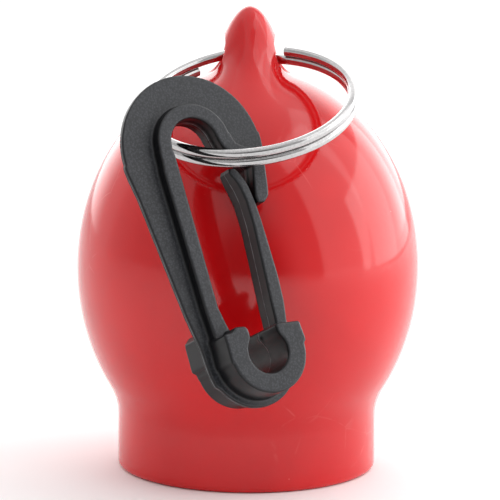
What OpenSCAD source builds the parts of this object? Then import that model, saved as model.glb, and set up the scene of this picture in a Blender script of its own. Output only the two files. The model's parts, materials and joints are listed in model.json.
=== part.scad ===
// Soft hood for a diving regulator's mouthpiece, with a two-turn split ring through
// its lug and a one-piece snap clip hung on the ring.
// Origin: centre of the mouth at the foot of the collar. +Z up to the lug, -Y to the
// side on which the ring and the clip hang.

/* [Hood] */
// Diameter at the widest place
hood_d = 57; // [45:0.5:70]
// Height from the collar's foot to the top of the egg, under the lug
hood_h = 67.2; // [58:0.2:85]
// Wall of the egg
wall = 2.5; // [1.6:0.1:3.5]
// Outer diameter of the collar
collar_d = 43.2; // [39:0.2:50]
// Diameter of the mouth
mouth_d = 34.6; // [28:0.2:36]

/* [Lug] */
// Distance from the top of the egg to the tip of the lug
lug_h = 10.2; // [9:0.1:14]
// Thickness across the hole's two faces
lug_w = 11.4; // [9:0.1:14]
// Width across the hole
lug_depth = 12.6; // [11.4:0.1:16]
// Diameter of the hole for the ring
hole_d = 6.2; // [5.8:0.1:6.6]
// Height of the hole's axis over the top of the egg
hole_up = 2.1; // [1.4:0.1:3]

/* [Split ring] */
// Outer diameter
ring_d = 35; // [34:0.5:42]
// Width of the wire, measured along the ring's radius
wire_w = 1.5; // [1.2:0.05:1.6]
// Height of one turn of the wire
wire_h = 1.53; // [1.2:0.01:1.6]
// Gap between the two turns
turn_gap = 0.04; // [0.02:0.01:0.1]
// Angle of the ring below horizontal
ring_drop = 21.6; // [15:0.1:30]
// Sideways tilt of the ring, left side lower
ring_tilt = 6.4; // [0:0.1:8]
// How far the wire lies in front of the hole's axis
ring_forward = 0.35; // [0:0.05:0.4]

/* [Clip place] */
// Angle round the ring from its front, towards the left, where the clip hangs
clip_round = 25.8; // [20:0.1:40]
// Turn of the clip about the vertical
clip_yaw = 33.3; // [30:0.1:44]
// Lean of the clip's front face back from horizontal
clip_lean = 66.3; // [62:0.1:72]
// Roll of the clip, left side lower
clip_roll = 8.8; // [0:0.1:12]

/* [Clip frame] */
// Diameter of the round head
head_d = 24.6; // [23:0.1:26]
// Thickness of the web that carries the head
web_t = 1.2; // [1:0.1:2.4]
// Thickness over the two raised rims
rim_t = 5.2; // [5:0.1:6]
// Width of the slot's round top
slot_d = 8.1; // [7.6:0.1:9]
// Width of the raised rim round the slot's top
rim_w = 2.4; // [1.8:0.1:3]
// Distance from the head's centre down to the eye's centre
eye_down = 33.8; // [31:0.1:38]
// Diameter of the eye
eye_d = 6.9; // [6:0.1:7.2]
// Wall of the eye
eye_wall = 3.15; // [2.6:0.05:3.6]
// Thickness of the eye block
eye_t = 12.4; // [8:0.1:14]
// Width of the eye's mouth between its lips
eye_mouth = 4.9; // [4:0.1:5.2]

/* [Clip gate] */
// Thickness across the clip
gate_t = 4.7; // [3.6:0.1:5]
// Diameter of the round root of the gate
root_d = 2; // [1.6:0.1:2.4]
// Running clearance of the root in its seat
root_gap = 0.05; // [0.03:0.01:0.1]
// Clearance between the shut gate and the nose
nose_gap = 0.15; // [0.1:0.05:0.4]

/* [Hidden] */

$fn = 96;
over = 1;             // how far a cut runs past the faces it cuts
arc_steps = 40;       // straight steps in the longest curve of an outline

// Hood: an egg of revolution whose foot runs into the collar
egg_r = hood_d / 2;
egg_c = hood_h / 2;   // half height, and the height of the centre
collar_r = collar_d / 2;
mouth_r = mouth_d / 2;
foot_bevel = 0.8;     // bevel round the collar's foot
blend_h = 3;          // how far the hollow blend from the collar reaches above and below the egg's foot
pole_gap = 3;         // degrees short of its top at which the space inside ends in a flat
egg_foot_z = egg_c - egg_c * sqrt(1 - pow(collar_r / egg_r, 2));
mouth_len = egg_c - (egg_c - wall) * sqrt(1 - pow(mouth_r / (egg_r - wall), 2));

// Lug
lug_tip_z = hood_h + lug_h;
hole_z = hood_h + hole_up;
hole_r = hole_d / 2;
lug_foot_z = hood_h - 3.2;    // inside the egg's wall
lug_flare = 2.4;              // concave foot of the lug
lug_step = 1.3;               // how far the flat bosses stand out from the horn
tip_r = 0.5;                  // flat at the very tip
boss_let_in = 0.9;            // how far the boss ends below the top of the hole

// Split ring, laid out flat: the lug's hole is at +Y, the front at -Y
ring_mid_r = ring_d / 2 - wire_w / 2;
wire_edge = 0.3;              // bevel on the wire's corners
turn_z = (wire_h + turn_gap) / 2;
jog_from = -12;               // degrees right of the hole where the upper turn starts down
jog_to = 6;                   // and where it has become the lower turn
lower_end = -31;              // cut end of the lower turn
upper_end = 7;                // cut end of the upper turn
jog_steps = 5;
jog_let_in = 1.5;             // degrees by which the crossing runs into each turn

// Clip frame, drawn from the front in its own plane
head_r = head_d / 2;
head_c = [0.55, 0.3];
slot_r = slot_d / 2;
slot_c = [0.15, 1.1];
spine_top = [slot_c[0] - slot_r, 0.3];       // slot side of the spine
spine_low = [-5.65, -eye_down + 9.1];
spine_w = [3.0, 2.4];                        // rim width of the spine, top and bottom
eye_r = eye_d / 2;
eye_out_r = eye_r + eye_wall;
eye_c = [-1.85, -eye_down];
lip_left = eye_c[0] - eye_mouth / 2 + 0.25;
lip_right = lip_left + eye_mouth;
lip_top = -eye_down + 3.8;                   // top of the left lip, at its inner end
lip_slope = 9.5;                             // both lips fall to the right
web_low = [-9.25, -eye_down - 2.3];         // where the web meets the eye's rib
eye_rib = 1.1;                               // rib of the web round the eye

// Clip gate: its root sits in a round seat on the right lip
root_r = root_d / 2;
seat_r = root_r + root_gap;
lip_out = 5.2;                               // outer face of the right lip
root_c = [lip_out + 0.1 - root_r, -eye_down + 3.8];
right_lip_top = root_c[1] + 0.1;             // at the right lip's inner end
gate_top = -4.15;
gate_bow_y = -10.1;                          // height of the nose's tip on the gate
gate_out_x = 7.15;                           // outer face of the gate at that height
gate_slim = 0.7;                             // bevel of the gate's top, each side
nose_tip = [gate_out_x + nose_gap, gate_bow_y];   // slot side of the nose, at its tip

// Where the clip hangs on the ring: the wire's centre in the clip's own plane
hang = [2.1, -0.9];

// --- helpers ---------------------------------------------------------------

// Points of an arc about c, from angle a to angle b
function arc(c, r, a, b, n) =
    [for (i = [0:n]) c + r * [cos(a + (b - a) * i / n), sin(a + (b - a) * i / n)]];

// Points of an upright ellipse, as radius and height, from the polar angle a to b
function egg_points(r, c, zc, a, b, n) =
    [for (i = [0:n]) let (t = a + (b - a) * i / n) [r * cos(t), zc + c * sin(t)]];

// --- hood ------------------------------------------------------------------

// Half section of the outside, with a hollow blend from the collar into the egg
module hood_outside() {
    foot = asin((egg_foot_z + blend_h - egg_c) / egg_c);
    low = egg_foot_z - blend_h;
    join = [egg_r * cos(foot), egg_c + egg_c * sin(foot)];
    polygon(concat(
        [[0, 0], [collar_r - foot_bevel, 0], [collar_r, foot_bevel], [collar_r, low]],
        [for (t = [0.25, 0.5, 0.75])
            [collar_r + (join[0] - collar_r) * t * t, low + (join[1] - low) * t]],
        egg_points(egg_r, egg_c, egg_c, foot, 90, arc_steps)));
}

// Half section of the space inside
module hood_inside() {
    low = asin((mouth_len - egg_c) / (egg_c - wall));
    polygon(concat(
        [[0, -over], [mouth_r, -over]],
        egg_points(egg_r - wall, egg_c - wall, egg_c, low, 90 - pole_gap, arc_steps),
        [[0, egg_c + (egg_c - wall) * cos(pole_gap)]]));
}

// Right half of the lug seen along Y: a spread foot, a flat boss at the hole, a blunt horn
module lug_side() {
    half = lug_w / 2;
    boss_top = hole_z + hole_r - boss_let_in;
    polygon(concat(
        [[0, lug_foot_z], [2 * half, lug_foot_z], [half + 0.6, hood_h - 1.2], [half, hole_z - hole_r + 1],
         [half, boss_top]],
        [for (i = [0:11]) let (t = i / 12)
            [(half - lug_step) * pow(1 - t, 0.42), boss_top + 0.5 + (lug_tip_z - boss_top - 0.5) * t]],
        [[tip_r, lug_tip_z + over], [0, lug_tip_z + over]]));
}

// Lug: a round horn narrowed to a blunt wedge across the hole
module lug() {
    top = lug_tip_z - hole_z;
    intersection() {
        rotate_extrude()
            polygon(concat(
                [[0, lug_foot_z], [lug_depth / 2 + lug_flare, lug_foot_z],
                 [lug_depth / 2 + lug_flare / 3, lug_foot_z + 1.2], [lug_depth / 2, lug_foot_z + 3]],
                [for (i = [0:11]) let (t = 90 * i / 12)
                    [lug_depth / 2 * cos(t), hole_z + top * sin(t)]],
                [[tip_r, lug_tip_z], [0, lug_tip_z]]));
        rotate([90, 0, 0])
            linear_extrude(2 * lug_depth, center = true)
                union() {
                    lug_side();
                    mirror([1, 0]) lug_side();
                }
    }
}

module cover() {
    color([0.80, 0.06, 0.07])
        difference() {
            union() {
                rotate_extrude() hood_outside();
                lug();
            }
            rotate_extrude() hood_inside();
            translate([0, 0, hole_z])
                rotate([0, 90, 0])
                    cylinder(h = 3 * lug_w, r = hole_r, center = true);
        }
}

// --- split ring ------------------------------------------------------------

// Section of the wire with bevelled corners, centred, thinned by the given amount
module wire_section(thin = 0) {
    w = wire_w / 2 - thin;
    h = wire_h / 2 - thin;
    e = wire_edge;
    polygon([[w, e - h], [w, h - e], [w - e, h], [e - w, h],
             [-w, h - e], [-w, e - h], [e - w, -h], [w - e, -h]]);
}

// One turn at height z, from angle a to b to the right of the hole
module turn(a, b, z) {
    rotate([0, 0, 90 - b])
        rotate_extrude(angle = b - a)
            translate([ring_mid_r, z])
                wire_section();
}

// Thin slice of wire, at an angle to the right of the hole and at height z
module wire_slice(a, z) {
    rotate([0, 0, 90 - a])
        translate([ring_mid_r, 0, z])
            rotate([90, 0, 0])
                linear_extrude(0.06, center = true)
                    wire_section(0.02);
}

// The stretch that crosses from the upper turn to the lower one, let into both
module jog() {
    from = jog_from - jog_let_in;
    span = jog_to - jog_from + 2 * jog_let_in;
    for (i = [0:jog_steps - 1]) {
        t = i / jog_steps;
        s = (i + 1) / jog_steps;
        hull() {
            wire_slice(from + span * t, turn_z * cos(180 * t));
            wire_slice(from + span * s, turn_z * cos(180 * s));
        }
    }
}

// Puts what is drawn flat round the ring's centre in its place in the lug
module place_ring() {
    translate([0, 0, hole_z])
        rotate([ring_drop, 0, 0])
            rotate([0, -ring_tilt, 0])
                translate([0, -ring_mid_r - ring_forward, 0])
                    children();
}

module split_ring() {
    color([0.75, 0.76, 0.78])
        place_ring() {
            turn(upper_end, 360 + jog_from, turn_z);
            turn(jog_to, 360 + lower_end, -turn_z);
            jog();
        }
}

// --- clip ------------------------------------------------------------------

// Puts what is drawn in the clip's plane in its place on the ring's wire
module place_clip() {
    drop = rot_x(ring_drop, rot_y(-ring_tilt,
        [-ring_mid_r * sin(clip_round), -ring_forward - ring_mid_r * (1 + cos(clip_round)), 0]));
    translate([0, 0, hole_z] + drop)
        rotate([clip_lean, -clip_roll, clip_yaw])
            translate([-hang[0], -hang[1], 0])
                children();
}

function rot_x(a, p) = [p[0], p[1] * cos(a) - p[2] * sin(a), p[1] * sin(a) + p[2] * cos(a)];
function rot_y(a, p) = [p[0] * cos(a) + p[2] * sin(a), p[1], p[2] * cos(a) - p[0] * sin(a)];

// A flat piece centred on the clip's middle plane
module plate(t) {
    linear_extrude(t, center = true) children();
}

// The slot, open to the right below the nose and down to the eye's lips
module slot_outline() {
    polygon(concat(
        arc(slot_c, slot_r, 0, 180, 24),
        [spine_top, spine_low],
        [spine_low + [0.35, -2.8], [lip_left - 0.9, lip_top + 0.7], [lip_left, lip_top - over],
         [head_d, lip_top - over], [head_d, gate_bow_y - 1], [nose_tip[0] + 1.3, gate_bow_y - 0.85],
         nose_tip + [0.1, -0.5], nose_tip + [0, 0.5], [8.65, -4.8], [7.9, -3.5],
         [6.2, -2.3], [4.75, -0.9]]));
}

// Web: the round head, the tapering back edge of the spine, and a rib round the eye
module web_outline() {
    translate(head_c) circle(r = head_r);
    translate(eye_c) circle(r = eye_out_r + eye_rib);
    polygon([head_c - [head_r, 0], head_c, [-3.5, -4], eye_c, web_low,
             head_c + [-head_r + 1.3, -eye_down + 9.2]]);
    polygon([head_c, head_c + [head_r, 0], head_c + [head_r - 0.35, -3.5], [11.25, -5.4],
             [10.45, gate_bow_y + 1.7], [9.7, gate_bow_y + 0.1], [nose_tip[0], gate_bow_y - 0.9]]);
}

// Raised rim: round the slot's top, down the spine, and the nose
module rim_outline() {
    translate(slot_c) circle(r = slot_r + rim_w);
    polygon([[slot_c[0] - slot_r - rim_w, slot_c[1]], [slot_c[0], slot_c[1]],
             spine_low + [1, 0], spine_low + [1.6, -4.6], spine_low - [spine_w[1], 4.6],
             spine_low - [spine_w[1], 0], spine_top - [spine_w[0], 2.5]]);
    polygon([slot_c, [slot_c[0] + slot_r + rim_w, slot_c[1]], [7.25, -0.5], [8.6, -1.5], [10.9, -2.3],
             [10.95, -5.2], [10.2, gate_bow_y + 1.7], [9.7, gate_bow_y + 0.1],
             [8.6, gate_bow_y - 0.75], [nose_tip[0], gate_bow_y - 0.9], [6, -6]]);
}

// What the eye's mouth takes out
module mouth_cut() {
    translate([lip_left, eye_c[1]]) square([eye_mouth, eye_out_r + over]);
}

// Eye block: a deep C with a lip on each side of its mouth
module eye_outline() {
    difference() {
        union() {
            translate(eye_c) circle(r = eye_out_r);
            translate([eye_c[0] - eye_out_r, eye_c[1]])
                square([lip_left - eye_c[0] + eye_out_r, lip_top - eye_c[1] + 1]);
            translate([lip_right, eye_c[1]])
                square([lip_out - lip_right, right_lip_top - eye_c[1]]);
        }
        mouth_cut();
        translate([lip_left, lip_top]) rotate(-lip_slope) translate([-head_r, 0]) square([2 * head_r, head_r]);
        translate([lip_right, right_lip_top]) rotate(-lip_slope) square(head_r);
    }
}

// Bore of the eye and the round seat of the gate's root
module eye_and_seat() {
    translate([eye_c[0], eye_c[1], 0])
        cylinder(h = eye_t + 2 * over, r = eye_r, center = true);
    translate([root_c[0], root_c[1], 0])
        cylinder(h = eye_t + 2 * over, r = seat_r, center = true);
}

module clip_frame() {
    color([0.16, 0.16, 0.17])
        place_clip()
            difference() {
                union() {
                    plate(web_t)
                        difference() {
                            web_outline();
                            slot_outline();
                            mouth_cut();
                            translate([lip_right, right_lip_top]) rotate(-lip_slope) square(head_r);
                        }
                    plate(rim_t)
                        difference() {
                            rim_outline();
                            slot_outline();
                        }
                    plate(eye_t) eye_outline();
                }
                eye_and_seat();
            }
}

// Gate: a slim springy arm from its round root up to behind the nose
module gate_outline() {
    translate(root_c) circle(r = root_r);
    polygon([root_c + [-root_r, 0], root_c + [root_r, 0], [6.1, -eye_down + 7.2], [6.85, -18.4],
             [gate_out_x, gate_bow_y], [6.35, gate_top - 1], [5.9, gate_top], [4.9, gate_top],
             [4.65, gate_top - 0.6], [5.6, gate_bow_y + 0.3], [4.85, -17.9], [3.75, -eye_down + 7.8]]);
}

module clip_gate() {
    half = gate_t / 2;
    color([0.16, 0.16, 0.17])
        place_clip()
            intersection() {
                plate(gate_t) gate_outline();
                rotate([90, 0, 90])
                    linear_extrude(2 * head_d, center = true)
                        polygon([[-2 * eye_down, -half], [gate_top - 2.6, -half], [gate_top, gate_slim - half],
                                 [gate_top, half - gate_slim], [gate_top - 2.6, half], [-2 * eye_down, half]]);
            }
}

cover();
split_ring();
clip_frame();
clip_gate();
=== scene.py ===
"""Looks of a soft mouthpiece cover with a split ring through its lug and a snap clip on the ring.

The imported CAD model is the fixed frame. Every piece is built in millimetres, in the frame's own
axes or in the plane of the piece, and put in place from the frame's joints.
"""

import json
import logging
import math
from dataclasses import dataclass, field
from enum import Enum
from typing import Callable

import bpy
import numpy as np
from mathutils import Matrix, Vector


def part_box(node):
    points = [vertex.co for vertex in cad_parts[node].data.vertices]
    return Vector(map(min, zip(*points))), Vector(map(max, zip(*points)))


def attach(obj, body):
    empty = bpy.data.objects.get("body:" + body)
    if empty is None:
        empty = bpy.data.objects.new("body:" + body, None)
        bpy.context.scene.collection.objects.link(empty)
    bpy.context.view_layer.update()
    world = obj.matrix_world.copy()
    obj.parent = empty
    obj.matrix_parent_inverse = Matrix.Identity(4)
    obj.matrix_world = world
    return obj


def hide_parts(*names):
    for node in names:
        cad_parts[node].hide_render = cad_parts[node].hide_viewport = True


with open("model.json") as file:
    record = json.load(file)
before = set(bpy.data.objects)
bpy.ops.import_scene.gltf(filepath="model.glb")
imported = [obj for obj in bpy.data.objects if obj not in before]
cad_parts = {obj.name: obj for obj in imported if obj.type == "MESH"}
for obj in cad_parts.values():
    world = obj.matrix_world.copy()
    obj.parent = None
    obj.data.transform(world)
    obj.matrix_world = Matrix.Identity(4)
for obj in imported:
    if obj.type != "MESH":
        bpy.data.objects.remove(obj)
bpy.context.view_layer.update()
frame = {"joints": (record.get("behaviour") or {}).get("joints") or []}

logging.basicConfig(level=logging.INFO, format="%(name)s: %(message)s")
log = logging.getLogger("cover")

MM = 0.001
FINE_STEP = 0.24

Array = np.ndarray
Field = Callable[[Array], Array]
Point2 = tuple[float, float]
Point3 = tuple[float, float, float]
Colour = tuple[float, float, float]


# --- distance fields ---------------------------------------------------------

def blend_union(a: Array, b: Array, soft: float | Array) -> Array:
    """Join two fields with a concave fillet.

    Args:
        a: Distances to the first solid, negative inside.
        b: Distances to the second solid.
        soft: Width of the fillet in millimetres.

    Returns:
        Distances to the joined solid.
    """
    h = np.clip(0.5 + 0.5 * (b - a) / soft, 0.0, 1.0)
    return b + (a - b) * h - soft * h * (1.0 - h)


def blend_cut(a: Array, b: Array, soft: float) -> Array:
    """Take the second solid out of the first, and round the edge that is left.

    Args:
        a: Distances to the solid that is cut.
        b: Distances to the solid that is taken out.
        soft: Width of the rounding in millimetres.

    Returns:
        Distances to what is left.
    """
    return -blend_union(-a, b, soft)


def disc(q: Array, centre: Point2, radius: float) -> Array:
    """Distance in a plane to a disc of that centre and radius."""
    return np.hypot(q[:, 0] - centre[0], q[:, 1] - centre[1]) - radius


def polygon(q: Array, corners: list[Point2], rounding: float = 0.0) -> Array:
    """Distance in a plane to a polygon whose outer corners may be rounded.

    Args:
        q: Points, one a row.
        corners: The outline, counter-clockwise.
        rounding: Radius of the outer corners, in millimetres.

    Returns:
        Distances, negative inside.
    """
    outline = np.array(inset(corners, rounding) if rounding else corners, float)
    nearest = np.full(len(q), np.inf)
    sign = np.ones(len(q))
    for a, b in zip(outline, np.roll(outline, -1, axis=0)):
        side, w = b - a, q - a
        t = np.clip(w @ side / (side @ side), 0.0, 1.0)
        nearest = np.minimum(nearest, ((w - t[:, None] * side) ** 2).sum(1))
        above, below = q[:, 1] >= a[1], q[:, 1] < b[1]
        left = side[0] * w[:, 1] > side[1] * w[:, 0]
        crossed = (above & below & left) | (~above & ~below & ~left)
        sign[crossed] *= -1.0
    return sign * np.sqrt(nearest) - rounding


def inset(corners: list[Point2], by: float) -> list[Point2]:
    """Move each side of a counter-clockwise outline inwards.

    Args:
        corners: The outline.
        by: Distance in millimetres.

    Returns:
        The corners of the smaller outline.
    """
    pts = [Vector(c) for c in corners]
    moved = []
    for before, here, after in zip(pts[-1:] + pts[:-1], pts, pts[1:] + pts[:1]):
        d1, d2 = (here - before).normalized(), (after - here).normalized()
        n1, n2 = Vector((-d1.y, d1.x)), Vector((-d2.y, d2.x))
        moved.append(tuple(here + (n1 + n2) * (by / (1.0 + n1.dot(n2)))))
    return moved


def slab(flat: Array, across: Array, half: float, rounding: float) -> Array:
    """Thicken a flat outline into a plate with rounded edges.

    Args:
        flat: Distances to the outline in its plane.
        across: Heights over the plane.
        half: Half the plate's thickness.
        rounding: Radius of the plate's edges.

    Returns:
        Distances to the plate.
    """
    d = flat + rounding
    h = np.abs(across) - half + rounding
    return np.minimum(np.maximum(d, h), 0.0) + np.hypot(np.maximum(d, 0.0), np.maximum(h, 0.0)) - rounding


def ellipsoid(p: Array, centre_z: float, radius: float, half_height: float) -> Array:
    """Distance to an upright egg of revolution on the Z axis, nearly true close to its surface."""
    scale = np.array([radius, radius, half_height])
    q = p - np.array([0.0, 0.0, centre_z])
    near = np.linalg.norm(q / scale, axis=1)
    slope = np.linalg.norm(q / scale ** 2, axis=1)
    return near * (near - 1.0) / np.maximum(slope, 1e-9)


# --- from a field to a mesh --------------------------------------------------

@dataclass
class Lattice:
    """Lines of a box grid, closer together where a solid has small features.

    Attributes:
        lines: The grid's places along X, Y and Z, in millimetres.
    """

    lines: tuple[Array, Array, Array]

    @staticmethod
    def graded(low: float, high: float, coarse: float, fine: float, spans: list[Point2]) -> Array:
        """Places from low to high, fine inside the given spans and coarse elsewhere.

        Args:
            low: First place.
            high: Last place.
            coarse: Step outside the spans.
            fine: Step inside them.
            spans: Pairs of places between which the step is fine.

        Returns:
            The places, in order.
        """
        places, here = [low], low
        while here < high:
            close = any(a - coarse <= here <= b for a, b in spans)
            here += fine if close else coarse
            places.append(here)
        return np.array(places)


@dataclass
class FieldMesher:
    """Turns a field into a closed mesh whose points lie on the true surface, with its normals.

    Attributes:
        probe: Distance over which the field's slope is measured, in millimetres.
        passes: Times each point is moved onto the surface.
        block: Grid steps in a block, which is skipped when the surface is far from it.
        reach: How much further than its corners a block looks for the surface.
        spare: Further millimetres that a block looks.
        least: Least square of a slope by which a point is moved.
    """

    probe: float = 0.01
    passes: int = 2
    block: int = 4
    reach: float = 1.5
    spare: float = 0.3
    least: float = 0.2

    def slope(self, solid: Field, p: Array) -> Array:
        """Slope of the field at each point."""
        steps = np.eye(3) * self.probe
        return np.stack([(solid(p + s) - solid(p - s)) / (2 * self.probe) for s in steps], axis=1)

    def sample(self, solid: Field, lattice: Lattice, grid: Array) -> Array:
        """Values of the field on the grid, true wherever the surface is near.

        Args:
            solid: The field.
            lattice: The grid's lines.
            grid: The grid's points.

        Returns:
            One value for each point of the grid.
        """
        middle, half = [], []
        for line in lattice.lines:
            first = np.arange(0, len(line), self.block)
            last = np.minimum(first + self.block, len(line) - 1)
            middle.append((line[first] + line[last]) / 2)
            half.append((line[last] - line[first]) / 2)
        centres = np.stack(np.meshgrid(*middle, indexing="ij"), axis=-1)
        sizes = np.linalg.norm(np.stack(np.meshgrid(*half, indexing="ij"), axis=-1), axis=-1)
        far = solid(centres.reshape(-1, 3)).reshape(sizes.shape)
        near = np.abs(far) < self.reach * sizes + self.spare
        value, close = [array.repeat(self.block, 0).repeat(self.block, 1).repeat(self.block, 2)
                        [:grid.shape[0], :grid.shape[1], :grid.shape[2]] for array in (far, near)]
        value[close] = solid(grid[close])
        return value

    def build(self, solid: Field, lattice: Lattice) -> tuple[Array, Array, Array]:
        """Mesh the surface on which the field is zero.

        Args:
            solid: The field.
            lattice: The grid on which it is sampled.

        Returns:
            Points, four-sided faces that look outwards, and the normal at each point.
        """
        grid = np.stack(np.meshgrid(*lattice.lines, indexing="ij"), axis=-1)
        shape = grid.shape[:3]
        value = self.sample(solid, lattice, grid)
        inside = value < 0
        cells = tuple(n - 1 for n in shape)
        total, count = np.zeros(cells + (3,)), np.zeros(cells)
        for axis in range(3):
            others = [a for a in range(3) if a != axis]
            for i in (0, 1):
                for j in (0, 1):
                    start = [slice(0, n) for n in cells]
                    start[others[0]] = slice(i, i + cells[others[0]])
                    start[others[1]] = slice(j, j + cells[others[1]])
                    end = list(start)
                    end[axis] = slice(1, 1 + cells[axis])
                    a, b = tuple(start), tuple(end)
                    cross = inside[a] != inside[b]
                    t = value[a][cross] / (value[a][cross] - value[b][cross])
                    total[cross] += grid[a][cross] + t[:, None] * (grid[b][cross] - grid[a][cross])
                    count[cross] += 1
        used = count > 0
        index = np.full(cells, -1)
        index[used] = np.arange(used.sum())
        points = total[used] / count[used][:, None]
        faces = [self._faces_across(inside, index, axis) for axis in range(3)]
        g = self.slope(solid, points)
        steep = np.maximum((g * g).sum(1), self.least)
        for _ in range(self.passes):
            points = points - g * (solid(points) / steep)[:, None]
        normals = self.slope(solid, points)
        normals /= np.linalg.norm(normals, axis=1)[:, None]
        return points, np.concatenate(faces), normals

    @staticmethod
    def _faces_across(inside: Array, index: Array, axis: int) -> Array:
        """One face round every grid edge along the axis at which the field changes sign."""
        u, v = (axis + 1) % 3, (axis + 2) % 3
        low = [slice(None)] * 3
        low[axis], low[u], low[v] = slice(0, -1), slice(1, -1), slice(1, -1)
        high = list(low)
        high[axis] = slice(1, None)
        a, b = inside[tuple(low)], inside[tuple(high)]
        quads = []
        for du, dv in ((0, 0), (1, 0), (1, 1), (0, 1)):
            pick = [slice(None)] * 3
            pick[u] = slice(du, du + index.shape[u] - 1)
            pick[v] = slice(dv, dv + index.shape[v] - 1)
            quads.append(index[tuple(pick)])
        corners = np.stack(quads, axis=-1)
        outward, inward = corners[a & ~b], corners[~a & b][:, ::-1]
        return np.concatenate([outward, inward])


def make_piece(name: str, points: Array, faces: Array, normals: Array, place: Matrix) -> bpy.types.Object:
    """Make a mesh object at the origin from points in millimetres.

    Args:
        name: Name of the piece.
        points: Points in the piece's own plane, in millimetres.
        faces: Corner numbers of each face.
        normals: Outward normal at each point.
        place: The piece's frame in the row frame, in metres.

    Returns:
        The object, linked into the scene.
    """
    turn = np.array(place.to_3x3())
    world = points * MM @ turn.T + np.array(place.translation)
    mesh = bpy.data.meshes.new(name)
    mesh.vertices.add(len(world))
    mesh.vertices.foreach_set("co", world.astype(np.float32).ravel())
    mesh.loops.add(faces.size)
    mesh.loops.foreach_set("vertex_index", faces.astype(np.int32).ravel())
    mesh.polygons.add(len(faces))
    mesh.polygons.foreach_set("loop_start", np.arange(0, faces.size, faces.shape[1], dtype=np.int32))
    mesh.update(calc_edges=True)
    mesh.validate()
    mesh.polygons.foreach_set("use_smooth", [True] * len(mesh.polygons))
    mesh.normals_split_custom_set_from_vertices((normals @ turn.T).tolist())
    piece = bpy.data.objects.new(name, mesh)
    bpy.context.scene.collection.objects.link(piece)
    return piece


# --- finishes ------------------------------------------------------------------

def feed(tree: bpy.types.NodeTree, socket: bpy.types.NodeSocket, value: object) -> None:
    """Link an output to an input, or set the input to a plain value.

    Args:
        tree: The tree that holds both.
        socket: The input.
        value: An output, or what the input is set to.
    """
    if isinstance(value, bpy.types.NodeSocket):
        tree.links.new(value, socket)
    else:
        socket.default_value = value


@dataclass
class NodeDesk:
    """Small helper that lays out and links the nodes of one material.

    Attributes:
        material: The material that is being made.
    """

    material: bpy.types.Material

    def node(self, kind: str, **settings: object) -> bpy.types.Node:
        """Add a node and set its properties, and the inputs whose names start with in_."""
        made = self.material.node_tree.nodes.new(kind)
        for key, value in settings.items():
            if key.startswith("in_"):
                made.inputs[key[3:].replace("_", " ")].default_value = value
            else:
                setattr(made, key, value)
        return made

    def link(self, out: bpy.types.NodeSocket, into: bpy.types.NodeSocket) -> None:
        """Join an output to an input."""
        self.material.node_tree.links.new(out, into)

    def ramp(self, source: bpy.types.NodeSocket, low: float, high: float, a: float,
             b: float) -> bpy.types.NodeSocket:
        """Map a value smoothly from the span low to high onto a to b."""
        node = self.node("ShaderNodeMapRange", interpolation_type="SMOOTHSTEP")
        for name, value in (("From Min", low), ("From Max", high), ("To Min", a), ("To Max", b)):
            node.inputs[name].default_value = value
        self.link(source, node.inputs["Value"])
        return node.outputs["Result"]

    def math(self, operation: str, a: object, b: object) -> bpy.types.NodeSocket:
        """Combine two values, each an output or a number."""
        node = self.node("ShaderNodeMath", operation=operation)
        for socket, value in zip(node.inputs, (a, b)):
            feed(self.material.node_tree, socket, value)
        return node.outputs[0]

    def noise(self, place: bpy.types.NodeSocket, size_mm: float, detail: float = 2.0) -> bpy.types.NodeSocket:
        """Cloudy noise whose blobs are about that many millimetres across."""
        node = self.node("ShaderNodeTexNoise", in_Scale=1.0 / (size_mm * MM), in_Detail=detail)
        self.link(place, node.inputs["Vector"])
        return node.outputs["Fac"]

    def mix(self, factor: bpy.types.NodeSocket, a: object, b: object) -> bpy.types.NodeSocket:
        """Blend two colours by a factor; each may be a colour or a socket."""
        node = self.node("ShaderNodeMix", data_type="RGBA")
        self.link(factor, node.inputs["Factor"])
        for name, value in (("A", a), ("B", b)):
            plain = not isinstance(value, bpy.types.NodeSocket)
            feed(self.material.node_tree, node.inputs[name], (*value, 1.0) if plain else value)
        return node.outputs["Result"]

    def bump(self, height: bpy.types.NodeSocket, depth_mm: float, strength: float,
             under: bpy.types.NodeSocket | None = None) -> bpy.types.NodeSocket:
        """Turn heights into a bumped normal."""
        node = self.node("ShaderNodeBump", in_Strength=strength, in_Distance=depth_mm * MM)
        self.link(height, node.inputs["Height"])
        if under is not None:
            self.link(under, node.inputs["Normal"])
        return node.outputs["Normal"]


@dataclass(frozen=True)
class Finish:
    """What every finish has.

    Attributes:
        name: Name of the material.
        slot: The record's material slot; not used.
        colour: Base colour, linear.
        roughness: Base roughness.
    """

    name: str
    slot: str
    colour: Colour
    roughness: float

    def start(self) -> tuple[NodeDesk, bpy.types.Node, bpy.types.NodeSocket]:
        """Make the material with its shader, and give the piece's own coordinates."""
        material = bpy.data.materials.new(self.name)
        material.use_nodes = True
        material.node_tree.nodes.clear()
        desk = NodeDesk(material)
        shader = desk.node("ShaderNodeBsdfPrincipled")
        shader.inputs["Base Color"].default_value = (*self.colour, 1.0)
        shader.inputs["Roughness"].default_value = self.roughness
        desk.link(shader.outputs["BSDF"], desk.node("ShaderNodeOutputMaterial").inputs["Surface"])
        return desk, shader, desk.node("ShaderNodeTexCoord").outputs["Object"]


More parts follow.
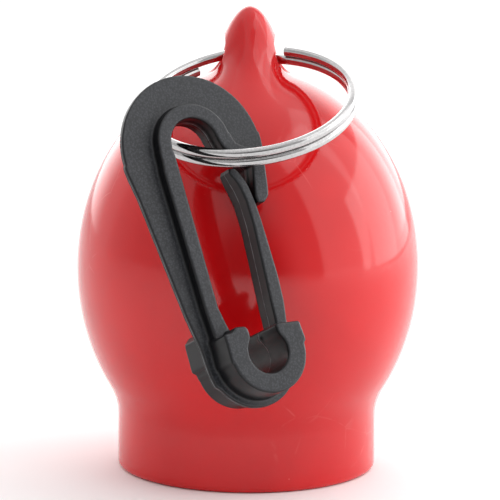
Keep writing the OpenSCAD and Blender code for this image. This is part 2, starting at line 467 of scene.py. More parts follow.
@dataclass(frozen=True)
class GlossyVinyl(Finish):
    """Soft red vinyl, dipped to a wet gloss, with faint rubs and dust.

    Attributes:
        deep: Colour of the slightly deeper patches.
        rub: Colour of the dry rub marks.
    """

    deep: Colour = (0.58, 0.004, 0.006)
    rub: Colour = (0.86, 0.16, 0.15)

    def make(self) -> bpy.types.Material:
        """Build the material."""
        desk, shader, place = self.start()
        patches = desk.ramp(desk.noise(place, 22.0, 3.0), 0.35, 0.7, 0.0, 1.0)
        tone = desk.mix(patches, self.colour, self.deep)
        lines = desk.node("ShaderNodeTexVoronoi", feature="DISTANCE_TO_EDGE", in_Scale=1.0 / (9.0 * MM))
        bent = desk.node("ShaderNodeVectorMath", operation="ADD")
        drift = desk.node("ShaderNodeTexNoise", in_Scale=1.0 / (14.0 * MM), in_Detail=1.0)
        desk.link(place, drift.inputs["Vector"])
        shrink = desk.node("ShaderNodeVectorMath", operation="SCALE", in_Scale=6.0 * MM)
        desk.link(drift.outputs["Color"], shrink.inputs[0])
        desk.link(place, bent.inputs[0])
        desk.link(shrink.outputs[0], bent.inputs[1])
        desk.link(bent.outputs[0], lines.inputs["Vector"])
        thin = desk.ramp(lines.outputs["Distance"], 0.0, 0.022, 1.0, 0.0)
        worn = desk.ramp(desk.noise(place, 17.0, 2.0), 0.56, 0.72, 0.0, 0.32)
        broken = desk.ramp(desk.noise(place, 2.5, 3.0), 0.4, 0.6, 0.0, 1.0)
        rubs = desk.math("MULTIPLY", desk.math("MULTIPLY", thin, worn), broken)
        specks = desk.node("ShaderNodeTexVoronoi", feature="F1", in_Scale=1.0 / (2.6 * MM))
        desk.link(place, specks.inputs["Vector"])
        dust = desk.math("MULTIPLY", desk.ramp(specks.outputs["Distance"], 0.035, 0.055, 1.0, 0.0),
                         desk.ramp(desk.noise(place, 4.0), 0.6, 0.66, 0.0, 0.5))
        marks = desk.math("MAXIMUM", rubs, dust)
        desk.link(desk.mix(marks, tone, self.rub), shader.inputs["Base Color"])
        cloud = desk.ramp(desk.noise(place, 5.0, 4.0), 0.3, 0.75, self.roughness, self.roughness + 0.035)
        desk.link(desk.math("ADD", cloud, desk.math("MULTIPLY", marks, 0.25)), shader.inputs["Roughness"])
        ripple = desk.bump(desk.noise(place, 7.0, 2.0), 0.05, 0.12)
        desk.link(desk.bump(marks, 0.02, 0.3, ripple), shader.inputs["Normal"])
        shader.inputs["IOR"].default_value = 1.52
        shader.inputs["Subsurface Weight"].default_value = 0.2
        shader.inputs["Subsurface Radius"].default_value = (1.0, 0.1, 0.1)
        shader.inputs["Subsurface Scale"].default_value = 1.2 * MM
        return desk.material


@dataclass(frozen=True)
class PolishedSteel(Finish):
    """Drawn spring steel, tumbled bright, with fine mottling and small nicks."""

    def make(self) -> bpy.types.Material:
        """Build the material."""
        desk, shader, place = self.start()
        shader.inputs["Metallic"].default_value = 1.0
        mottle = desk.noise(place, 0.35, 3.0)
        nicks = desk.ramp(desk.noise(place, 0.9, 2.0), 0.66, 0.74, 0.0, 1.0)
        desk.link(desk.mix(desk.ramp(mottle, 0.3, 0.7, 0.0, 1.0), self.colour,
                           tuple(0.84 * c for c in self.colour)), shader.inputs["Base Color"])
        rough = desk.ramp(mottle, 0.3, 0.75, self.roughness, self.roughness + 0.09)
        desk.link(desk.math("ADD", rough, desk.math("MULTIPLY", nicks, 0.12)), shader.inputs["Roughness"])
        desk.link(desk.bump(nicks, 0.01, 0.12), shader.inputs["Normal"])
        return desk.material


@dataclass(frozen=True)
class GrainedAcetal(Finish):
    """Charcoal acetal: spark-eroded grain on the faces, smooth drawn walls given a darker colour as painted
    shade, a parting line.

    Attributes:
        wall: Colour of the smooth walls, darker than the faces: painted shade for walls that get less light
            than the faces.
        light: Colour in the hollows of the grain; the base colour is on its peaks.
        line: Colour of the parting line.
    """

    # The wall colour is painted shade, darker than the faces' own colour.
    wall: Colour = (0.005, 0.005, 0.006)
    light: Colour = (0.042, 0.044, 0.052)
    line: Colour = (0.16, 0.165, 0.175)

    def make(self) -> bpy.types.Material:
        """Build the material."""
        desk, shader, place = self.start()
        flat = desk.node("ShaderNodeAttribute", attribute_name=Moulding.FLAT).outputs["Fac"]
        across = desk.node("ShaderNodeAttribute", attribute_name=Moulding.ACROSS).outputs["Fac"]
        face = desk.ramp(flat, 0.75, 0.97, 0.0, 1.0)
        wall = desk.ramp(flat, 0.1, 0.35, 1.0, 0.0)
        cells = desk.node("ShaderNodeTexVoronoi", feature="SMOOTH_F1", in_Scale=1.0 / (0.34 * MM))
        cells.inputs["Smoothness"].default_value = 0.6
        desk.link(place, cells.inputs["Vector"])
        fine = desk.noise(place, 0.14, 3.0)
        grain = desk.math("ADD", cells.outputs["Distance"], desk.math("MULTIPLY", fine, 0.8))
        grain = desk.math("MULTIPLY", grain, desk.math("ADD", desk.math("MULTIPLY", face, 0.85), 0.15))
        near_line = desk.ramp(desk.math("ABSOLUTE", across, 0.0), 0.05, 0.11, 1.0, 0.0)
        parting = desk.math("MULTIPLY", near_line, wall)
        broken = desk.math("MULTIPLY", parting, desk.ramp(desk.noise(place, 1.6, 3.0), 0.35, 0.6, 0.25, 1.0))
        tone = desk.mix(desk.ramp(grain, 0.35, 1.1, 0.0, 1.0), self.light, self.colour)
        # Walls take the darker wall colour and faces the grain tone: painted shade on the walls.
        body = desk.mix(face, self.wall, tone)
        desk.link(desk.ramp(flat, 0.3, 0.9, 0.2, 0.5), shader.inputs["Specular IOR Level"])
        desk.link(desk.mix(broken, body, self.line), shader.inputs["Base Color"])
        cloud = desk.ramp(desk.noise(place, 3.0, 3.0), 0.3, 0.7, self.roughness - 0.03, self.roughness + 0.06)
        desk.link(desk.math("ADD", cloud, desk.math("MULTIPLY", wall, -0.1)), shader.inputs["Roughness"])
        low = desk.bump(grain, 0.035, 0.5)
        desk.link(desk.bump(parting, 0.03, 0.5, low), shader.inputs["Normal"])
        shader.inputs["IOR"].default_value = 1.48
        return desk.material


class Finishes(Enum):
    """The finishes of the pieces."""

    VINYL = GlossyVinyl("soft_red_vinyl", "soft_red", (0.65, 0.006, 0.008), 0.09)
    STEEL = PolishedSteel("polished_steel", "polished_steel", (0.54, 0.53, 0.53), 0.08)
    ACETAL = GrainedAcetal("charcoal_acetal", "clip_black", (0.013, 0.014, 0.017), 0.42)


# --- pieces ------------------------------------------------------------------------

def joint_of(name: str) -> dict:
    """The frame's joint of that name."""
    return next(j for j in frame["joints"] if j["name"] == name)


def dress(piece: bpy.types.Object, material: bpy.types.Material, body: str,
          node: str) -> bpy.types.Object:
    """Dress a piece and tie it to its body and to the node that it stands for."""
    piece.data.materials.clear()
    piece.data.materials.append(material)
    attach(piece, body)
    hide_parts(node)
    log.info("%s: %d faces, rides on %s", piece.name, len(piece.data.polygons), body)
    return piece


@dataclass
class Moulding:
    """A moulded piece that is built from a field.

    Attributes:
        mesher: Turns fields into meshes.
        step: Fine step of the grid in millimetres.

    FLAT and ACROSS name what a piece of the clip stores at each point for its finish.
    """

    FLAT = "flat_face"
    ACROSS = "across_mm"

    mesher: FieldMesher = field(default_factory=FieldMesher)
    step: float = FINE_STEP


@dataclass
class SoftCover(Moulding):
    """Egg-shaped cover: collar round the mouth, hollow egg, drilled lug on top.

    Attributes:
        egg_height: Height of the egg over the floor.
        wall: Wall of the egg.
        collar_r: Radius of the collar; collar_h is its height and collar_edge rounds its edges.
        mouth_r: Radius of the mouth; mouth_edge rounds its edges.
        neck_soft: Width of the hollow blend between collar and egg.
        foot_soft: Width of the lug's concave foot beside the hole.
        foot_front: Width of that foot at the lug's front and back.
        lug_half: Half the lug's width along the hole's axis, at its foot.
        lug_deep: Half the lug's width across that axis, at its foot.
        bullet_h: Height over which the lug narrows to its tip.
        bullet_out: How square the narrowing is across the lug.
        bullet_up: How square the narrowing is along the lug.
        hole_r: Radius of the lug's hole; hole_lip rounds its edges.
        coarse: Step of the grid away from small features.
        spare: Room round the cover in the grid.
    """

    egg_height: float = 67.2
    wall: float = 2.5
    collar_r: float = 21.6
    collar_h: float = 14.0
    collar_edge: float = 0.9
    mouth_r: float = 17.3
    mouth_edge: float = 1.2
    neck_soft: float = 1.7
    foot_soft: float = 1.6
    foot_front: float = 7.0
    lug_half: float = 6.1
    lug_deep: float = 7.0
    bullet_h: float = 12.5
    bullet_out: float = 1.9
    bullet_up: float = 1.5
    hole_r: float = 3.1
    hole_lip: float = 0.7
    coarse: float = 0.8
    spare: float = 1.5

    def __post_init__(self) -> None:
        """Take the overall sizes from the frame."""
        _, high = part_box("cover")
        self.egg_r = high.x / MM
        self.tip_z = high.z / MM
        self.hole_z = joint_of("ring_swing")["pos_m"][2] / MM

    def lug(self, p: Array) -> Array:
        """Field of the lug without its hole: a blunt bullet, narrower along the hole's axis."""
        out = np.hypot(p[:, 0], p[:, 1] * self.lug_half / self.lug_deep) / self.lug_half
        up = np.maximum(1.0 - (self.tip_z - p[:, 2]) / self.bullet_h, 0.0)
        level = out ** self.bullet_out + up ** self.bullet_up - 1.0
        slope = np.hypot(self.bullet_out * out ** (self.bullet_out - 1.0) / self.lug_half,
                         self.bullet_up * up ** (self.bullet_up - 1.0) / self.bullet_h)
        return level / np.maximum(slope, 1e-3)

    def foot(self, p: Array) -> Array:
        """Width of the lug's concave foot, wider where the hole doesn't come out."""
        front = p[:, 1] ** 2 / (p[:, 0] ** 2 + p[:, 1] ** 2 + 1e-9)
        return self.foot_soft + (self.foot_front - self.foot_soft) * front ** 2

    def solid(self, p: Array) -> Array:
        """Field of the whole cover."""
        out = np.hypot(p[:, 0], p[:, 1])
        mid = self.egg_height / 2
        egg = np.maximum(ellipsoid(p, mid, self.egg_r, mid), self.collar_h / 2 - p[:, 2])
        collar = slab(out - self.collar_r, p[:, 2] - self.collar_h / 2, self.collar_h / 2, self.collar_edge)
        body = blend_union(egg, collar, self.neck_soft)
        body = blend_union(body, self.lug(p), self.foot(p))
        inner = ellipsoid(p, mid, self.egg_r - self.wall, mid - self.wall)
        mouth = np.maximum(out - self.mouth_r, p[:, 2] - self.collar_h)
        body = blend_cut(body, blend_union(inner, mouth, self.mouth_edge), self.mouth_edge)
        hole = np.hypot(p[:, 1], p[:, 2] - self.hole_z) - self.hole_r
        return blend_cut(body, hole, self.hole_lip)

    def build(self) -> bpy.types.Object:
        """Mesh and dress the cover."""
        near, wide, top = self.lug_deep + 2.5, self.egg_r + self.spare, self.tip_z + 1.0
        side = Lattice.graded(-wide, wide, self.coarse, self.step, [(-near, near)])
        up = Lattice.graded(-self.spare, top, self.coarse, self.step,
                            [(-1.0, self.spare), (self.egg_height - 2 * self.spare, top)])
        points, faces, normals = self.mesher.build(self.solid, Lattice((side, side, up)))
        piece = make_piece("soft_cover", points, faces, normals, Matrix.Identity(4))
        finish = Finishes.VINYL.value
        return dress(piece, finish.make(), "cover", "cover")


@dataclass
class ClipPlane:
    """The clip's own plane: x to the right, y up, z towards the viewer's side.

    Attributes:
        hang: Centre of the ring's wire in that plane.
        root: Centre of the gate's root in that plane.
    """

    hang: Vector = field(default_factory=lambda: Vector((2.1, -0.9, 0.0)))
    root: Vector = field(default_factory=lambda: Vector((4.3, -30.0, 0.0)))

    def place(self) -> Matrix:
        """The plane's frame in the row frame, worked out from the two joints of the clip."""
        swing, flex = joint_of("clip_swing"), joint_of("gate_flex")
        normal = Vector(flex["axis"]).normalized()
        there = Vector(flex["pos_m"]) - Vector(swing["pos_m"])
        here = self.root - self.hang
        side = normal.cross(there)
        right = (there * here.x - side * here.y).normalized()
        up = normal.cross(right)
        turn = Matrix((right, up, normal)).transposed()
        start = Vector(swing["pos_m"]) - turn @ (self.hang * MM)
        return Matrix.Translation(start) @ turn.to_4x4()


@dataclass
class SnapClip(Moulding):
    """One-piece snap clip: round head, spine, nose, split eye and springy gate.

    Attributes:
        plane: The clip's own plane.
        head: Centre of the round head; head_r is its radius.
        web_half: Half the web's thickness; web_round rounds its edges.
        slot: Centre of the slot's round top; slot_r is its radius.
        rim_half: Half the rim's thickness; rim_w is its width and rim_round rounds its edges.
        eye: Centre of the eye; eye_r is its bore, eye_wall its wall and eye_half half its depth.
        rib: Width by which the web stands out round the eye.
        lip_left: Where the left lip ends and the mouth starts; lip_right is where the mouth ends.
        lip_out: Outside of the right lip.
        lip_top: Height of the lips' line at the left, which falls to the right by lip_fall degrees.
        lip_step: How far the eye block may stand over that line; lip_low is the right lip's under the gate.
        seat_r: Radius of the gate's seat; seat_half is half its depth.
        gate_half: Half the gate's thickness, and gate_round rounds its edges.
        slim_by: How much slimmer that is behind the nose, from slim_from upwards, over slim_over.
        root_r: Radius of the gate's root, and root_soft its blend into the arm.
        fillet: Fillet between web, rim and eye; eye_round rounds the eye block's edges.
        corner: Rounding of the lips and of the mouth; arm_corner is that of the arm.
        edge_lip: Rounding of cut edges; eye_lip and seat_lip are those of the eye and the seat.
        back_soft: Blend of head and back; nose_soft, spine_soft and rib_soft are the others.
        clear_x: A place well to the right of the clip, where its slot is open.
        arm_top: Top of the arm behind the eye.
    """

    plane: ClipPlane = field(default_factory=ClipPlane)
    head: Point2 = (0.55, 0.3)
    head_r: float = 12.3
    web_half: float = 0.6
    web_round: float = 0.22
    slot: Point2 = (0.15, 1.1)
    slot_r: float = 4.05
    rim_half: float = 2.6
    rim_w: float = 2.4
    rim_round: float = 0.38
    eye: Point2 = (-1.85, -33.8)
    eye_r: float = 3.45
    eye_wall: float = 3.15
    eye_half: float = 6.2
    eye_round: float = 0.38
    rib: float = 1.1
    lip_left: float = -4.05
    lip_right: float = 0.85
    lip_out: float = 5.2
    lip_top: float = -30.0
    lip_fall: float = 9.5
    seat_r: float = 1.05
    seat_half: float = 2.45
    gate_half: float = 2.35
    root_r: float = 1.0
    root_soft: float = 0.2
    gate_round: float = 0.36
    slim_from: float = -6.8
    slim_over: float = 2.6
    slim_by: float = 0.7
    fillet: float = 0.5
    corner: float = 0.7
    edge_lip: float = 0.3
    eye_lip: float = 0.4
    seat_lip: float = 0.1
    back_soft: float = 1.0
    nose_soft: float = 0.8
    spine_soft: float = 0.6
    rib_soft: float = 1.5
    lip_step: float = 0.9
    lip_low: float = 0.1
    clear_x: float = 24.0
    arm_top: float = -27.2
    arm_corner: float = 0.5

    def slot_field(self, q: Array) -> Array:
        """The slot in the plane, open below the nose and down to the eye's lips."""
        x, y, r = self.slot[0], self.slot[1], self.slot_r
        hollow = polygon(q, [
            (x - r, y), (x - r, 0.3), (-5.65, -24.7), (-5.3, -27.5),
            (self.lip_left - 0.9, self.lip_top + 0.7), (self.lip_left, self.lip_top - 1.0),
            (self.clear_x, self.lip_top - 1.0), (self.clear_x, -11.1), (8.6, -10.95), (7.4, -10.6),
            (7.3, -9.6), (8.65, -4.8), (7.9, -3.5), (6.2, -2.3), (4.75, -0.9), (x + r, y)])
        return blend_union(disc(q, self.slot, r), hollow, self.edge_lip)

    def mouth_field(self, q: Array) -> Array:
        """What the eye's mouth takes out, in the plane."""
        top = self.eye[1] + self.eye_r + self.eye_wall + 1.0
        left, right = self.lip_left, self.lip_right
        return polygon(q, [(left, self.eye[1]), (right, self.eye[1]), (right, top), (left, top)])

    def above_lip(self, q: Array, start: float, height: float) -> Array:
        """Height over a lip's top, which falls to the right, in the plane."""
        fall = math.radians(self.lip_fall)
        return -((q[:, 0] - start) * math.sin(fall) + (q[:, 1] - height) * math.cos(fall))

    def web_field(self, q: Array) -> Array:
        """The web: round head, tapering back edge, and a rib round the eye."""
        hx, hy, r = *self.head, self.head_r
        web = disc(q, self.head, r)
        back = polygon(q, [(hx - r, hy), (hx - r + 1.3, hy - 24.9), (-9.25, self.eye[1] - 2.3), self.eye,
                           (-3.5, -4.0), self.head])
        nose = polygon(q, [self.head, (7.3, -11.0), (9.7, -10.0), (10.45, -8.4), (11.25, -5.4),
                           (hx + r - 0.35, -3.5), (hx + r, hy)])
        web = blend_union(web, back, self.back_soft)
        web = blend_union(web, nose, self.nose_soft)
        return blend_union(web, disc(q, self.eye, self.eye_r + self.eye_wall + self.rib), self.rib_soft)

    def rim_field(self, q: Array) -> Array:
        """The raised rim: round the slot's top, down the spine, and the nose."""
        x, y, out = self.slot[0], self.slot[1], self.slot_r + self.rim_w
        rim = disc(q, self.slot, out)
        spine = polygon(q, [(x - out, y), (-6.9, -2.2), (-8.05, -24.7), (-8.05, -29.3), (-4.05, -29.3),
                            (-4.65, -24.7), (x, y)])
        nose = polygon(q, [(x, y), (6.0, -6.0), (7.3, -11.0), (8.6, -10.85), (9.7, -10.0), (10.2, -8.4),
                           (10.95, -5.2), (10.9, -2.3), (8.6, -1.5), (7.25, -0.5), (x + out, y)])
        return blend_union(blend_union(rim, spine, self.spine_soft), nose, self.nose_soft)

    def eye_field(self, q: Array, middle: Array) -> Array:
        """The eye block in the plane: a C cut along the lips' falling line, and open at its mouth."""
        x, y = self.eye
        out = self.eye_r + self.eye_wall
        ring = disc(q, self.eye, out)
        left = polygon(q, [(x - out, y), (self.lip_left, y), (self.lip_left, self.lip_top + 2.0),
                           (x - out, self.lip_top + 2.0)])
        left = blend_cut(left, self.above_lip(q, self.lip_left, self.lip_top), self.corner)
        right_top = self.lip_top + np.where(middle, self.lip_low, self.lip_step)
        right = polygon(q, [(self.lip_right, y), (self.lip_out, y), (self.lip_out, self.lip_top + 4.0),
                            (self.lip_right, self.lip_top + 4.0)])
        right = blend_cut(right, self.above_lip(q, self.lip_right, right_top), self.corner)
        lips = np.minimum(left, right)
        body = blend_union(ring, lips, self.nose_soft)
        step = self.above_lip(q, self.lip_left, self.lip_top + self.lip_step)
        body = blend_cut(body, step, self.edge_lip)
        return blend_cut(body, self.mouth_field(q), self.corner)

    def solid(self, p: Array) -> Array:
        """Field of the frame of the clip."""
        q, w = p[:, :2], p[:, 2]
        middle = np.abs(w) < self.seat_half
        slot = self.slot_field(q)
        web = blend_cut(self.web_field(q), slot, self.edge_lip)
        web = blend_cut(web, self.mouth_field(q), self.edge_lip)
        rim = blend_cut(self.rim_field(q), slot, self.edge_lip)
        body = blend_union(slab(web, w, self.web_half, self.web_round),
                           slab(rim, w, self.rim_half, self.rim_round), self.fillet)
        eye = slab(self.eye_field(q, middle), w, self.eye_half, self.eye_round)
        arm = polygon(q, [(-9.3, -33.0), (-6.2, -33.0), (-5.9, -28.6), (-7.6, self.arm_top),
                          (-8.9, self.arm_top - 1.0)], self.arm_corner)
        behind = slab(arm, w + self.eye_half / 2, self.eye_half / 2, self.eye_round)
        body = blend_union(body, blend_union(eye, behind, self.fillet), self.fillet)
        body = blend_cut(body, disc(q, self.eye, self.eye_r), self.eye_lip)
        seat = disc(q, (self.plane.root.x, self.plane.root.y), self.seat_r)
        return blend_cut(body, slab(seat, w, self.seat_half, self.seat_lip / 2), self.seat_lip)

    def gate_solid(self, p: Array) -> Array:
        """Field of the gate: a slim bowed arm from its round root to behind the nose."""
        q, w = p[:, :2], p[:, 2]
        rx, ry = self.plane.root.x, self.plane.root.y
        arm = polygon(q, [
            (rx - self.root_r, ry), (rx + self.root_r, ry), (6.1, -26.6), (6.62, -22.5), (6.85, -18.4),
            (7.1, -13.6), (7.15, -10.1), (6.9, -7.6), (6.35, -5.15), (5.9, -4.15), (4.9, -4.15),
            (4.65, -4.75), (5.35, -7.6), (5.6, -9.8), (5.4, -13.6), (4.85, -17.9), (4.25, -22.4),
            (3.75, -26.0)])
        flat = blend_union(arm, disc(q, (rx, ry), self.root_r), self.root_soft)
        slim = np.clip((q[:, 1] - self.slim_from) / self.slim_over, 0.0, 1.0) * self.slim_by
        return slab(flat, w * self.gate_half / (self.gate_half - slim), self.gate_half, self.gate_round)

    def piece_from(self, name: str, solid: Field, low: Point3, high: Point3,
                   place: Matrix) -> bpy.types.Object:
        """Mesh one solid of the clip and store what its finish follows.

        Args:
            name: Name of the piece.
            solid: Its field.
            low: Lowest corner of the grid, in the middle plane.
            high: Highest corner of the grid, above the middle plane.
            place: The clip's frame.

        Returns:
            The object.
        """
        thick = [(-h - 0.6, -h + 0.6) for h in (high[2] - 1.0, self.rim_half, 0.0)]
        thick += [(-b, -a) for a, b in reversed(thick)]
        lines = (Lattice.graded(low[0], high[0], self.step, self.step, []),
                 Lattice.graded(low[1], high[1], self.step, self.step, []),
                 Lattice.graded(-high[2], high[2], 2 * self.step, self.step, thick))
        points, faces, normals = self.mesher.build(solid, Lattice(lines))
        piece = make_piece(name, points, faces, normals, place)
        for label, values in ((self.FLAT, np.abs(normals[:, 2])), (self.ACROSS, points[:, 2])):
            layer = piece.data.attributes.new(label, "FLOAT", "POINT")
            layer.data.foreach_set("value", values.astype(np.float32))
        return piece

    def build(self) -> list[bpy.types.Object]:
        """Mesh and dress the frame and the gate."""
        place = self.plane.place()
        finish = Finishes.ACETAL.value
        material = finish.make()
        body = self.piece_from("snap_clip_frame", self.solid, (-13.0, -42.5, 0.0), (13.8, 13.6, 7.2), place)
        gate = self.piece_from("snap_clip_gate", self.gate_solid, (2.3, -32.0, 0.0), (8.2, -3.2, 3.35), place)
        return [dress(body, material, "clip", "clip_frame"),
                dress(gate, material, "gate", "clip_gate")]


@dataclass
class RingPlane:
    """How the ring lies in the lug's hole.

    Attributes:
        drop: Angle of the ring below horizontal, in degrees.
        tilt: Its sideways tilt, in degrees.
        forward: How far the wire lies in front of the hole's axis, in millimetres.
    """

    drop: float = 21.6
    tilt: float = 6.4
    forward: float = 0.35

    def place(self, middle_r: float) -> Matrix:
        """The ring's frame in the row frame, in metres."""
        pivot = Vector(joint_of("ring_swing")["pos_m"])
        drop = Matrix.Rotation(math.radians(self.drop), 4, "X")
        tilt = Matrix.Rotation(math.radians(-self.tilt), 4, "Y")
        out = Matrix.Translation((0, -(middle_r + self.forward) * MM, 0))
        return Matrix.Translation(pivot) @ drop @ tilt @ out


@dataclass
class SplitRing:
    """Split ring: one wire of two turns, with its crossing inside the lug's hole.

    Attributes:
        middle_r: Radius of the wire's centre line.
        wire_w: Width of the wire.
        wire_h: Height of the wire.
        gap: Gap between the turns.
        corner: Rounding of the wire's corners.
        start: Angle of the upper turn's cut end, to the right of the hole, in degrees.
        end: Angle of the lower turn's cut end, counted on over both turns.
        cross: Angles between which the wire crosses from the upper to the lower turn.
        points_along: Points along the wire; corner_points is their number round each corner.
        sharp: Angle over which an edge stays sharp, in degrees.
    """

    plane: RingPlane = field(default_factory=RingPlane)
    middle_r: float = 16.75
    wire_w: float = 1.5
    wire_h: float = 1.53
    gap: float = 0.04
    corner: float = 0.66
    start: float = 21.0
    end: float = 689.0
    cross: Point2 = (348.0, 366.0)
    points_along: int = 900
    corner_points: int = 6
    sharp: float = 50.0

    def tree(self) -> tuple[bpy.types.NodeTree, dict[str, float]]:
        """Node tree that lays a wire along the ring's path, and the values of its named inputs."""
        tree = bpy.data.node_groups.new("split_ring_wire", "GeometryNodeTree")
        lengths = {"Middle Radius": self.middle_r, "Wire Width": self.wire_w, "Wire Height": self.wire_h,
                   "Corner": self.corner, "Half Pitch": (self.wire_h + self.gap) / 2}
        turns = {"Start": self.start, "End": self.end, "Cross From": self.cross[0], "Cross To": self.cross[1]}
        inputs = {name: value * MM for name, value in lengths.items()}
        inputs |= {name: math.radians(value) for name, value in turns.items()}
        tree.interface.new_socket("Geometry", in_out="OUTPUT", socket_type="NodeSocketGeometry")
        for name in inputs:
            tree.interface.new_socket(name, in_out="INPUT", socket_type="NodeSocketFloat")
        tree.interface.new_socket("Material", in_out="INPUT", socket_type="NodeSocketMaterial")
        into = tree.nodes.new("NodeGroupInput")

        def add(kind: str, **links: object) -> bpy.types.Node:
            """Add a node, set its properties, and feed the inputs named in links."""
            made = tree.nodes.new(kind)
            for key, value in links.items():
                if hasattr(made, key) and not isinstance(value, bpy.types.NodeSocket):
                    setattr(made, key, value)
                    continue
                feed(tree, made.inputs[int(key[2:]) if key[:2] == "at" else key], value)
            return made

        def calc(operation: str, a: object, b: object = 0.0) -> bpy.types.NodeSocket:
            """Combine two values."""
            return add("ShaderNodeMath", operation=operation, at0=a, at1=b).outputs[0]

        line = add("GeometryNodeCurvePrimitiveLine")
        along = add("GeometryNodeResampleCurve", Curve=line.outputs["Curve"], Count=self.points_along)
        factor = add("GeometryNodeSplineParameter").outputs["Factor"]
        span = calc("SUBTRACT", into.outputs["End"], into.outputs["Start"])
        angle = calc("ADD", calc("MULTIPLY", factor, span), into.outputs["Start"])
        crossing = add("ShaderNodeMapRange", interpolation_type="SMOOTHSTEP", Value=angle)
        for name, value in (("From Min", into.outputs["Cross From"]), ("From Max", into.outputs["Cross To"]),
                            ("To Min", 1.0), ("To Max", -1.0)):
            feed(tree, crossing.inputs[name], value)
        height = calc("MULTIPLY", crossing.outputs["Result"], into.outputs["Half Pitch"])
        radius = into.outputs["Middle Radius"]
        spot = add("ShaderNodeCombineXYZ", X=calc("MULTIPLY", calc("SINE", angle), radius),
                   Y=calc("MULTIPLY", calc("COSINE", angle), radius), Z=height)
        path = add("GeometryNodeSetPosition", Geometry=along.outputs["Curve"],
                   Position=spot.outputs["Vector"])
        level = add("GeometryNodeSetCurveNormal", Curve=path.outputs["Geometry"])
        level.mode = "Z_UP"
        section = add("GeometryNodeCurvePrimitiveQuadrilateral", Width=into.outputs["Wire Width"],
                      Height=into.outputs["Wire Height"])
        soft = add("GeometryNodeFilletCurve", Curve=section.outputs["Curve"], Radius=into.outputs["Corner"])
        soft.mode = "POLY"
        soft.inputs["Count"].default_value = self.corner_points
        wire = add("GeometryNodeCurveToMesh", Curve=level.outputs["Curve"])
        tree.links.new(soft.outputs["Curve"], wire.inputs["Profile Curve"])
        wire.inputs["Fill Caps"].default_value = True
        real = add("GeometryNodeRealizeInstances", Geometry=wire.outputs["Mesh"])
        painted = add("GeometryNodeSetMaterial", Geometry=real.outputs["Geometry"],
                      Material=into.outputs["Material"])
        out = tree.nodes.new("NodeGroupOutput")
        tree.links.new(painted.outputs["Geometry"], out.inputs["Geometry"])
        return tree, inputs

    def build(self) -> bpy.types.Object:
        """Run the tree, turn its result into a plain mesh and put it in the lug's hole."""
        finish = Finishes.STEEL.value
        material = finish.make()
        tree, values = self.tree()
        carrier = bpy.data.objects.new("ring_carrier", bpy.data.meshes.new("ring_carrier"))
        bpy.context.scene.collection.objects.link(carrier)
        modifier = carrier.modifiers.new("wire", "NODES")
        modifier.node_group = tree
        sockets = {s.name: s.identifier for s in tree.interface.items_tree if s.in_out == "INPUT"}
        for name, value in values.items():
            modifier[sockets[name]] = value
        modifier[sockets["Material"]] = material
        carrier.update_tag()
        ready = carrier.evaluated_get(bpy.context.evaluated_depsgraph_get())
        mesh = bpy.data.meshes.new_from_object(ready)
        bpy.data.objects.remove(carrier)
        mesh.transform(self.plane.place(self.middle_r))
        mesh.name = "split_ring_wire"
        mesh.polygons.foreach_set("use_smooth", [True] * len(mesh.polygons))
        mesh.set_sharp_from_angle(angle=math.radians(self.sharp))
        piece = bpy.data.objects.new("split_ring_wire", mesh)
        bpy.context.scene.collection.objects.link(piece)
        return dress(piece, material, "ring", "split_ring")


# --- studio ---------------------------------------------------------------------------

@dataclass(frozen=True)
class Softbox:
    """A soft light panel that faces the object.

    Attributes:
        name: Name of the light.
        turn: Direction from the object, in degrees from the camera's side towards the right.
        lift: Direction above horizontal, in degrees.
        away: Distance in metres.
        width: Width in metres.
        height: Height in metres.
        glow: Radiance of its face, where 1 is white.
    """

    name: str
    turn: float
    lift: float
    away: float
    width: float
    height: float
    glow: float

    def add(self, aim: Vector) -> None:
        """Hang the panel in the scene."""
        turn, lift = math.radians(self.turn), math.radians(self.lift)
        way = Vector((math.sin(turn) * math.cos(lift), -math.cos(turn) * math.cos(lift), math.sin(lift)))
        lamp = bpy.data.lights.new(self.name, "AREA")
        lamp.shape = "RECTANGLE"
        lamp.size, lamp.size_y = self.width, self.height
        lamp.energy = self.glow * math.pi * self.width * self.height
        light = bpy.data.objects.new(self.name, lamp)
        light.location = aim + way * self.away
        light.rotation_euler = way.to_track_quat("Z", "Y").to_euler()
        light.visible_camera = False
        bpy.context.scene.collection.objects.link(light)


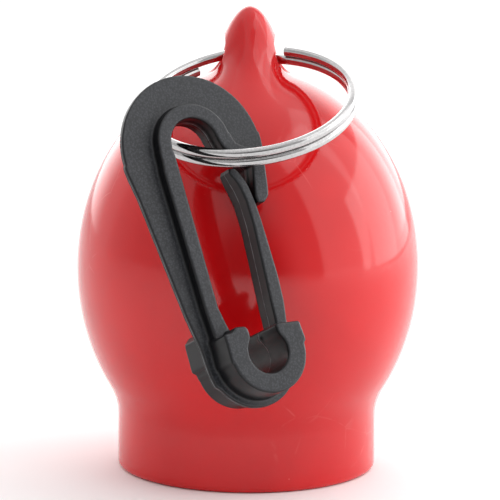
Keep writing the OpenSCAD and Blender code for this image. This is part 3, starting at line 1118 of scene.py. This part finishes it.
@dataclass
class Studio:
    """Plain pale floor, soft light and the camera.

    Attributes:
        aim: Point that the distances of the camera and the lights are measured from.
        lift: Height of the camera over horizontal, in degrees.
        away: Distance of the camera, in metres.
        roll: Turn of the camera about its own line of sight, in degrees.
        lens: Focal length for a 36 mm wide sensor.
        shift: Shift of the picture to the right and upwards, as shares of its width.
        floor_size: Side of the square floor, in metres; floor_colour is its colour.
        sky_bands: The tent's glow along Y, added up: from where, to where, and the glow at both ends.
        lights: The softboxes.
    """

    aim: Vector = field(default_factory=lambda: Vector((0.0, 0.0, 0.0336)))
    lift: float = 10.4
    away: float = 0.570
    roll: float = 0.5
    lens: float = 245.5
    shift: Point2 = (0.0044, 0.034)
    floor_size: float = 12.0
    floor_colour: Colour = (0.94, 0.94, 0.94)
    sky_bands: tuple[tuple[float, float, float, float], ...] = (
        (-0.99, -0.78, 0.10, 0.66), (-0.35, 0.45, 0.0, 0.33), (0.50, 0.92, 0.0, 2.2))
    lights: tuple[Softbox, ...] = (
        Softbox("right_softbox", 70.0, 28.0, 0.62, 0.48, 1.0, 1.0),
        Softbox("right_edge_softbox", 106.0, 28.0, 0.62, 0.32, 1.0, 0.9),
        Softbox("right_low_softbox", 112.0, 14.0, 0.50, 0.60, 0.30, 1.9),
        Softbox("left_strip", -122.0, 24.0, 0.60, 0.34, 1.0, 0.15),
        Softbox("top_softbox", 20.0, 84.0, 0.60, 0.80, 0.62, 0.32),
    )

    def camera(self) -> None:
        """Set up the camera."""
        data = bpy.data.cameras.new("camera")
        data.sensor_width = 36.0
        data.lens = self.lens
        data.shift_x, data.shift_y = self.shift
        data.clip_start = 0.01
        data.dof.use_dof = False
        camera = bpy.data.objects.new("camera", data)
        lift = math.radians(self.lift)
        back = Vector((0.0, -math.cos(lift), math.sin(lift)))
        camera.location = self.aim + back * self.away
        look = back.to_track_quat("Z", "Y").to_matrix()
        camera.rotation_euler = (look @ Matrix.Rotation(math.radians(self.roll), 3, "Z")).to_euler()
        bpy.context.scene.collection.objects.link(camera)
        bpy.context.scene.camera = camera

    def floor(self) -> None:
        """Lay the pale floor under the object."""
        half = self.floor_size / 2
        mesh = bpy.data.meshes.new("floor")
        corners = [(-half, -half, 0), (half, -half, 0), (half, half, 0), (-half, half, 0)]
        mesh.from_pydata(corners, [], [(0, 1, 2, 3)])
        floor = bpy.data.objects.new("floor", mesh)
        bpy.context.scene.collection.objects.link(floor)
        material = bpy.data.materials.new("pale_floor")
        material.use_nodes = True
        shader = material.node_tree.nodes["Principled BSDF"]
        shader.inputs["Base Color"].default_value = (*self.floor_colour, 1.0)
        shader.inputs["Roughness"].default_value = 0.9
        shader.inputs["Specular IOR Level"].default_value = 0.1
        mesh.materials.append(material)

    def sky(self) -> None:
        """Light tent: bright behind the object, dim on the camera's side."""
        world = bpy.data.worlds.new("tent")
        bpy.context.scene.world = world
        world.use_nodes = True
        nodes, links = world.node_tree.nodes, world.node_tree.links
        place = nodes.new("ShaderNodeTexCoord")
        split = nodes.new("ShaderNodeSeparateXYZ")
        links.new(place.outputs["Generated"], split.inputs[0])
        total = nodes.new("ShaderNodeValue").outputs[0]
        total.default_value = 0.0
        for band in self.sky_bands:
            depth = nodes.new("ShaderNodeMapRange")
            depth.interpolation_type = "SMOOTHSTEP"
            for name, value in zip(("From Min", "From Max", "To Min", "To Max"), band):
                depth.inputs[name].default_value = value
            links.new(split.outputs["Y"], depth.inputs["Value"])
            added = nodes.new("ShaderNodeMath")
            links.new(total, added.inputs[0])
            links.new(depth.outputs["Result"], added.inputs[1])
            total = added.outputs[0]
        links.new(total, nodes["Background"].inputs["Strength"])
        nodes["Background"].inputs["Color"].default_value = (1.0, 1.0, 1.0, 1.0)

    def build(self) -> None:
        """Set up the whole studio."""
        scene = bpy.context.scene
        scene.view_settings.view_transform = "Standard"
        self.camera()
        self.floor()
        self.sky()
        for light in self.lights:
            light.add(self.aim)


def main() -> None:
    """Build the studio and every piece."""
    step = FINE_STEP
    Studio().build()
    SoftCover(step=step).build()
    SplitRing().build()
    SnapClip(step=step).build()


if __name__ == "__main__":
    main()
